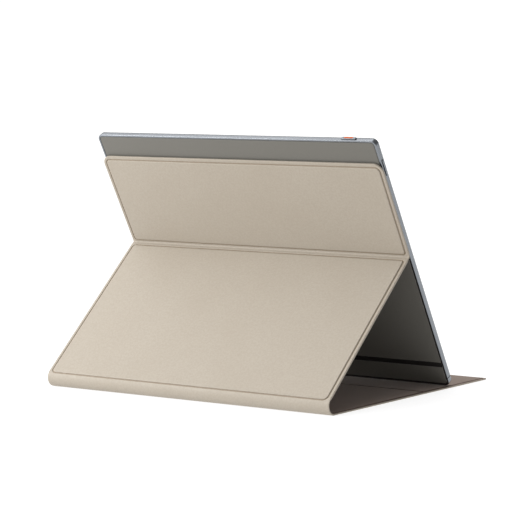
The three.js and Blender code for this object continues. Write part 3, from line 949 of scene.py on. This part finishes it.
stripLow, stripHigh = readerBox("grip_strip")
stripMiddle = (stripLow.y + stripHigh.y) / 2
backCover = {
    "inset": 2.1,
    "round": [(0, 0.7), (0, 0.3), (0.05, 0.16), (0.15, 0.06), (0.32, 0.01), (0.6, 0)],
    "stripGap": 0.24,
    "stripSeat": 0.37,       # depth of the groove for the strip
}
rings = [readerRing(backCover["inset"] + inset, z) for inset, z in backCover["round"]]
points, faces = bridgeRings(rings)
cover = addPiece("backCover", points, faces, paintedShell, readerPlace, 24)
grooveWidth = stripHigh.y - stripLow.y + backCover["stripGap"]
grooveCutter = addStack("cutter", [
    {"width": 2 * halfReader + 10, "height": grooveWidth, "radius": 0.01, "y": stripMiddle, "z": z}
    for z in (-1, backCover["stripSeat"])
], None, readerPlace, steps=1)
carve(cover, [grooveCutter], 24)
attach(cover, "reader")
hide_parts("back_cover")

gripStrip = {"round": [(0, 0.25), (0, 0.06), (0.06, -0.03), (0.18, -0.08), (0.36, -0.1), (0.7, -0.1)]}
strip = addStack("gripStrip", [
    {"width": stripHigh.x - stripLow.x - 2 * inset, "height": stripHigh.y - stripLow.y - 2 * inset,
     "radius": max(0.8 - inset, 0.1), "y": stripMiddle, "z": z}
    for inset, z in gripStrip["round"]
], gripRubber, readerPlace, steps=6)
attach(strip, "reader")
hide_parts("grip_strip")
print("back cover made")

# Front: a black printed border round the electronic paper. The lower border is wide, as a place for
# the thumb.

screen = {"inset": 1.1, "thickness": 0.45, "side": 9.7, "low": 32, "high": 9.4, "corner": 1.2}
windowHeight = readerHeight - screen["low"] - screen["high"]
windowWidth = 2 * (halfReader - screen["side"])
windowMiddle = screen["low"] + windowHeight / 2


def windowRing(grow, z):
    return roundedRing(windowWidth + 2 * grow, windowHeight + 2 * grow, screen["corner"] + grow,
                       y=windowMiddle, z=z, steps=sideFrame["cornerSteps"])


glassBack = readerDepth - screen["thickness"]
rings = [
    readerRing(screen["inset"], glassBack),
    readerRing(screen["inset"], readerDepth - 0.12),
    readerRing(screen["inset"] + 0.04, readerDepth - 0.04),
    readerRing(screen["inset"] + 0.14, readerDepth),
    readerRing(screen["inset"] + 0.5, readerDepth),
    windowRing(0.3, readerDepth),
    windowRing(0.06, readerDepth),
    windowRing(0, readerDepth - 0.06),
    windowRing(0, glassBack),
]
points, faces = bridgeRings(rings, closed=True)
screenBorder = addPiece("screenBorder", points, faces, printedGlass, readerPlace)
rings = [
    windowRing(-0.02, glassBack),
    windowRing(-0.02, readerDepth - 0.1),
    windowRing(-0.06, readerDepth - 0.05),
    windowRing(-0.5, readerDepth - 0.05),
]
points, faces = bridgeRings(rings)
paperWindow = addPiece("paperWindow", points, faces, electronicPaper, readerPlace)
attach(screenBorder, "reader")
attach(paperWindow, "reader")
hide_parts("front_glass")
print("front made")

# Keys and port


def roundedPill(length, width, low, high, rounding, steps=5):
    rows = [pillRow(length, width, low)]
    for step in range(steps + 1):
        angle = math.pi / 2 * step / steps
        shrink = 2 * rounding * (1 - math.cos(angle))
        rows.append(pillRow(length - shrink, width - shrink, high - rounding * (1 - math.sin(angle))))
    return rows


flange = -sideFrame["wall"] - 0.1
inlayLength, inlayWidth = power["inlay"]
powerRows = [pillRow(power["length"] + 1.6, power["width"] + 0.3, flange - 0.6),
             pillRow(power["length"] + 1.6, power["width"] + 0.3, flange),
             *roundedPill(power["length"], power["width"], flange, power["proud"], power["rounding"]),
             pillRow(inlayLength + 0.2, inlayWidth + 0.2, power["proud"]),
             pillRow(inlayLength + 0.14, inlayWidth + 0.14, power["proud"] - 0.06),
             pillRow(inlayLength + 0.14, inlayWidth + 0.14, power["proud"] - 0.36)]
powerKey = addStack("powerKey", powerRows, anodisedAluminium,
                    onSide("top", power["place"]), 28)
inlayRows = roundedPill(inlayLength, inlayWidth, power["proud"] - 0.34, power["proud"] + 0.02, 0.08)
inlay = addStack("powerKeyInlay", inlayRows, orangeEnamel, onSide("top", power["place"]), 40)
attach(powerKey, "power_button")
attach(inlay, "power_button")
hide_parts("power_button")
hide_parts("power_inlay")

rockerFlange = -sideFrame["wall"] - 0.5
rockerRows = [
    pillRow(rocker["length"] + 1.6, rocker["width"] + 0.4, rockerFlange - 0.6),
    pillRow(rocker["length"] + 1.6, rocker["width"] + 0.4, rockerFlange),
    *roundedPill(rocker["length"], rocker["width"], rockerFlange, rocker["proud"], rocker["rounding"]),
]
rockerKey = addStack("volumeKey", rockerRows, anodisedAluminium,
                     onSide("left", rocker["place"]), 28)
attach(rockerKey, "volume_rocker")
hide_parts("volume_rocker")

usbRows = [pillRow(usb["length"], usb["width"], -7.6),
           *roundedPill(usb["length"], usb["width"], -7, -0.45, 0.12),
           pillRow(usb["length"] - 0.66, usb["width"] - 0.66, -0.45),
           pillRow(usb["length"] - 0.7, usb["width"] - 0.7, -0.6),
           pillRow(usb["length"] - 0.7, usb["width"] - 0.7, -6.8)]
usbShell = addStack("usbShell", usbRows, stampedSteel, onSide("right", usb["place"]), 28)
tongueRows = [{"width": 6.6 - shrink, "height": 0.7 - shrink, "radius": 0.12, "z": z}
              for shrink, z in ((0, -6.9), (0, -1.35), (0.1, -1.2))]
usbTongue = addStack("usbTongue", tongueRows, mouldedPlastic, onSide("right", usb["place"]))
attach(usbShell, "reader")
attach(usbTongue, "reader")
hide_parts("usb_port")
print("keys and port made")

# Floor, light and camera

stage = {
    "floorSize": 60,         # metres
    "floorLevel": -0.0002,   # just under the folio
    "floorColour": "#969696",
    "floorGlow": 0.82,
    "skyColour": "#FFFFFF",
}
floorMesh = bpy.data.meshes.new("floor")
reach = stage["floorSize"] / 2
floorCorners = [(-reach, -reach), (reach, -reach), (reach, reach), (-reach, reach)]
floorMesh.from_pydata([(x, y, stage["floorLevel"]) for x, y in floorCorners], [], [(0, 1, 2, 3)])
floor = bpy.data.objects.new("floor", floorMesh)
scene.collection.objects.link(floor)
# A light table of frosted white acrylic: lit from below, so that shadows on it stay faint.
frostedAcrylic = makeFinish("frostedAcrylic", stage["floorColour"], {
    "Roughness": 0.9,
    "Specular IOR Level": 0.1,
    "Emission Color": linearColour(stage["skyColour"]),
    "Emission Strength": stage["floorGlow"],
}, [
    {"kind": "TexNoise", "size": 300, "paint": "#929292", "amount": 0.4},
])
floorMesh.materials.append(frostedAcrylic)

sky = {
    "horizon": 1.05,
    "above": 0.4,
    "fadeLow": 0.05,         # how high the sky starts to darken, and where it has
    "fadeHigh": 0.32,
    "darkSide": 0.6,         # strength on one side, and how far across it reaches full strength
    "sideLow": -0.75,
    "sideHigh": 0.45,
}
world = bpy.data.worlds.new("studio")
scene.world = world
world.use_nodes = True
skyTree = world.node_tree
skyTree.nodes.clear()
direction = addNode(skyTree, "TexCoord")
parts = addNode(skyTree, "SeparateXYZ", links={0: (direction, "Generated")})
fade = addNode(skyTree, "MapRange", {
    "interpolation_type": "SMOOTHSTEP",
    "From Min": sky["fadeLow"],
    "From Max": sky["fadeHigh"],
    "To Min": sky["horizon"],
    "To Max": sky["above"],
}, {"Value": (parts, "Z")})
side = addNode(skyTree, "MapRange", {
    "interpolation_type": "SMOOTHSTEP",
    "From Min": sky["sideLow"],
    "From Max": sky["sideHigh"],
    "To Min": sky["darkSide"],
    "To Max": 1,
}, {"Value": (parts, "X")})
strength = addNode(skyTree, "Math", {"operation": "MULTIPLY"}, {0: (fade, 0), 1: (side, 0)})
glow = addNode(skyTree, "Background", {"Color": linearColour(stage["skyColour"])},
               {"Strength": (strength, 0)})
addNode(skyTree, "OutputWorld", links={"Surface": (glow, "Background")})

# A very wide overhead light keeps the floor even, and a soft box on the left shapes the slopes.
lights = [
    {"name": "overhead", "kind": "SUN", "power": 2.55, "spread": 85,
     "from": (1.0, 0.6, 1.9), "to": (0, 0, 0)},
    {"name": "leftBox", "kind": "AREA", "power": 11, "size": 0.7,
     "from": (0.88, 0.78, 0.4), "to": (0, 0.05, 0.12)},
]
for lamp in lights:
    data = bpy.data.lights.new(lamp["name"], lamp["kind"])
    data.energy = lamp["power"]
    if lamp["kind"] == "SUN":
        data.angle = math.radians(lamp["spread"])
    else:
        data.size = lamp["size"]
    light = bpy.data.objects.new(lamp["name"], data)
    light.location = lamp["from"]
    light.rotation_euler = (Vector(lamp["to"]) - Vector(lamp["from"])).to_track_quat("-Z", "Y").to_euler()
    scene.collection.objects.link(light)

camera = {
    "place": (-1.1435, 1.6007, 0.2880),
    "target": (0.02552, -0.02284, 0.10378),
    "roll": -0.291,
    "lens": 159.09,
    "sensor": 36,
}
cameraData = bpy.data.cameras.new("camera")
cameraData.sensor_width = camera["sensor"]
cameraData.lens = camera["lens"]
cameraData.clip_end = 200
cameraObject = bpy.data.objects.new("camera", cameraData)
cameraObject.location = camera["place"]
aim = (Vector(camera["target"]) - Vector(camera["place"])).to_track_quat("-Z", "Y").to_matrix()
cameraObject.rotation_euler = (aim @ Matrix.Rotation(math.radians(camera["roll"]), 3, "Z")).to_euler()
scene.collection.objects.link(cameraObject)
scene.camera = cameraObject
scene.view_settings.view_transform = "Standard"
print("stage made")
